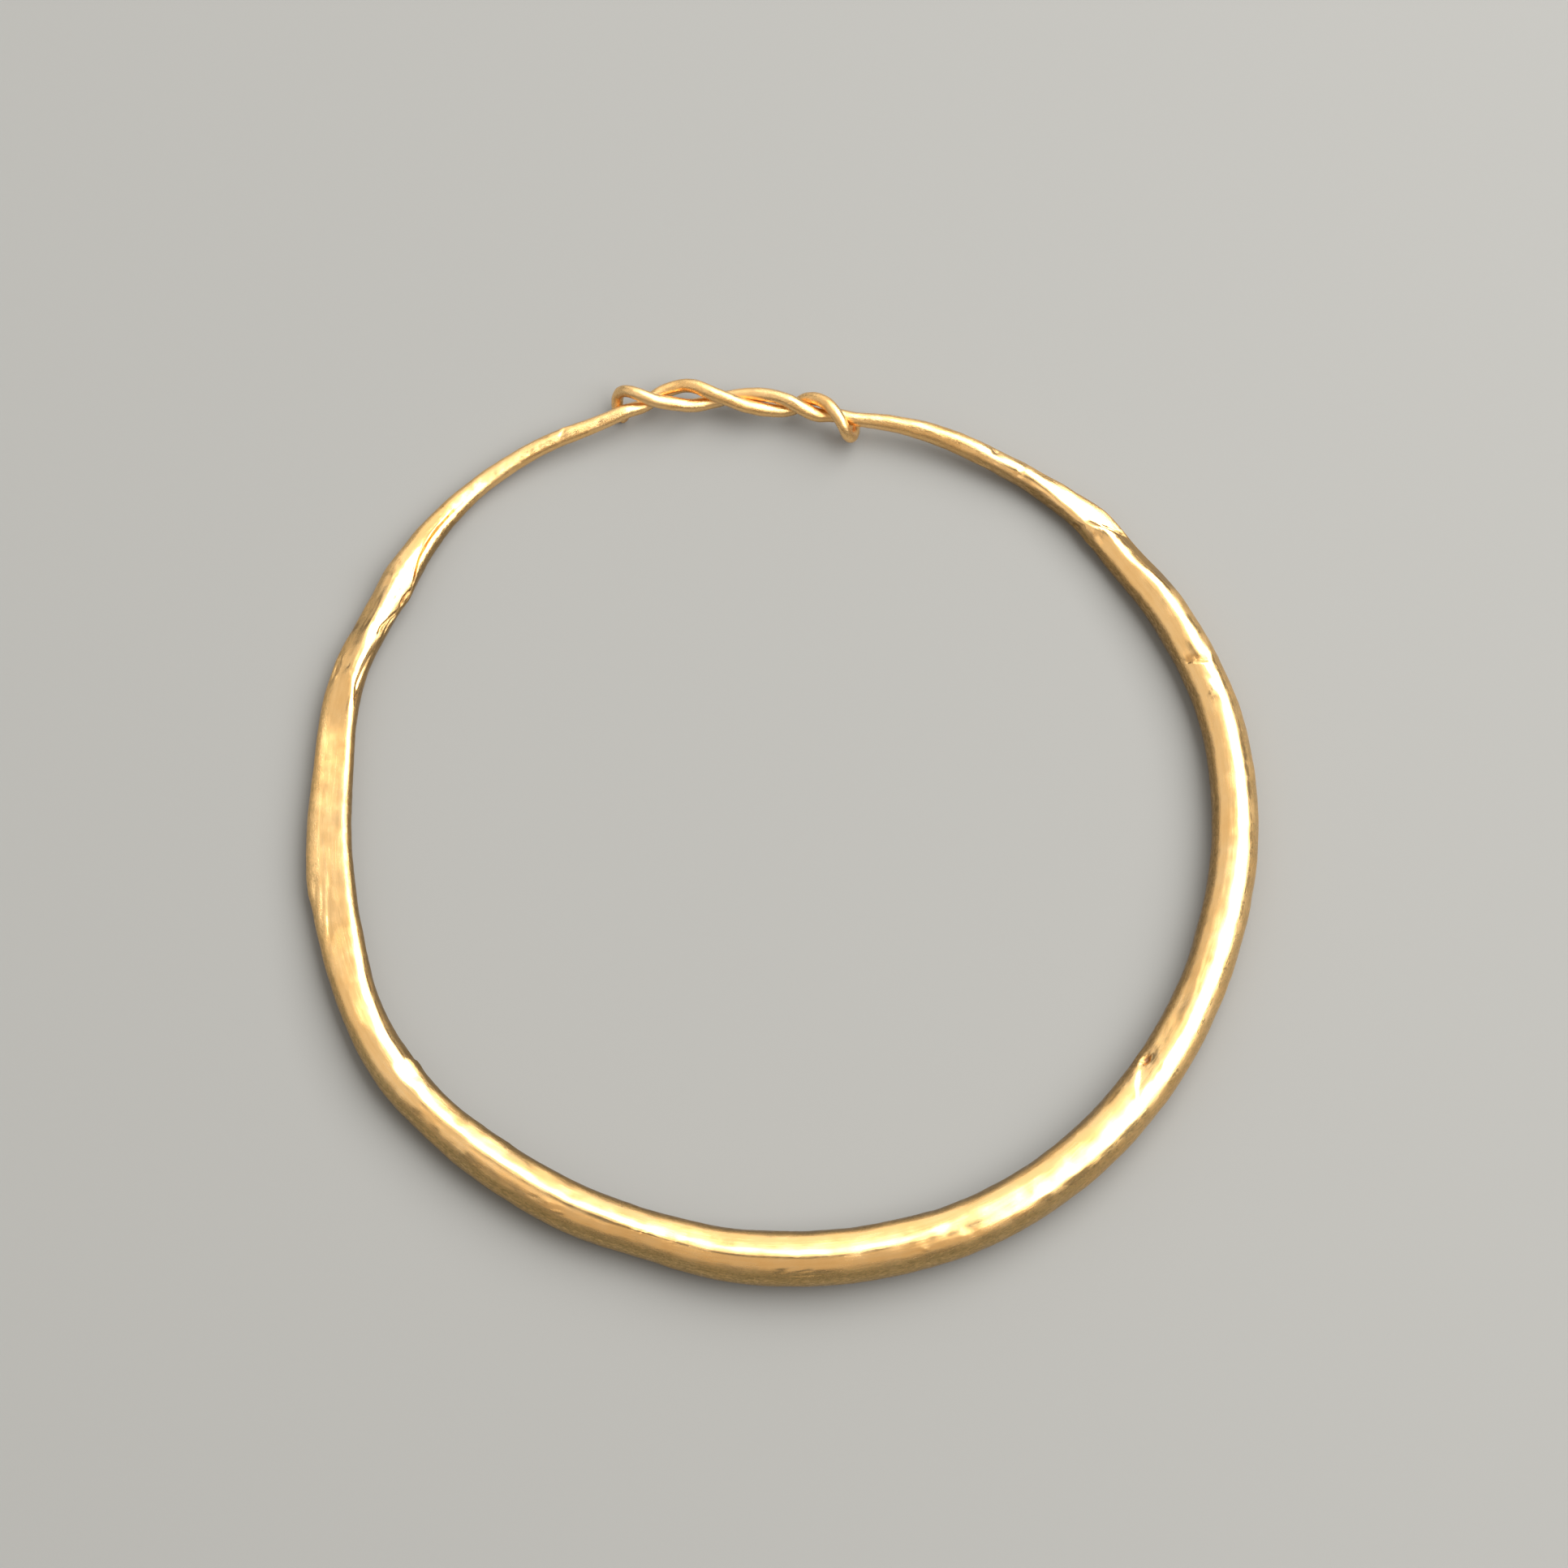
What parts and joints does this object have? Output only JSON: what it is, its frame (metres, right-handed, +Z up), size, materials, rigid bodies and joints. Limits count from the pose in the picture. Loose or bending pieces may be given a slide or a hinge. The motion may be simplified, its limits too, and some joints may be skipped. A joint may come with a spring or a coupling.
{
  "type": "gold bracelet",
  "caption": "Slender ring bracelet of hammered gold, thick at the front and drawn out to wire ends that twist round each other as a fixed closure.",
  "frame": {"origin": "middle of the bracelet's box, on the plane that it lies on", "axes": "+Z up as it lies flat, +Y towards the twisted closure, -Y towards the thick front, +X to the right seen from above with the closure at the top"},
  "size_m": [0.078, 0.0778, 0.0042],
  "materials": {
    "gold": "hammered and worn gold with fine scratches"
  },
  "bodies": {
    "root": {"bracelet": "gold"}
  },
  "joints": []
}
